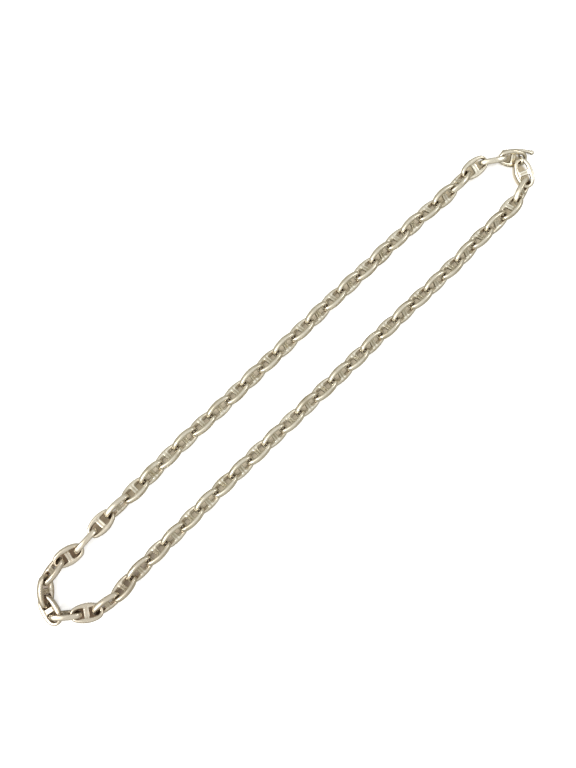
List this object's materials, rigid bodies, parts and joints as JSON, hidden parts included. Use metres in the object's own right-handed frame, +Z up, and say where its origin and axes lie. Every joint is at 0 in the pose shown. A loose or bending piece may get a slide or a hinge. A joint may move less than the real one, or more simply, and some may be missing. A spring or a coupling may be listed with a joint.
{
  "type": "mariner link necklace",
  "caption": "Silver neck chain of oval mariner links, each crossed by a stud, closed in a loop by a bowed toggle bar behind its catch link and lying flat on a surface.",
  "frame": {"origin": "middle of the footprint of the lying necklace, on the surface that it lies on", "axes": "+X along the lying loop to the toggle clasp, +Y across the loop, +Z up from the surface"},
  "size_m": [0.2989, 0.0337, 0.0086],
  "materials": {
    "silver": "worn polished silver, darker in the recesses"
  },
  "bodies": {
    "root": {"upper_strand": "silver", "lower_strand": "silver", "catch_link": "silver", "holder_link": "silver", "toggle_bar": "silver"}
  },
  "joints": []
}
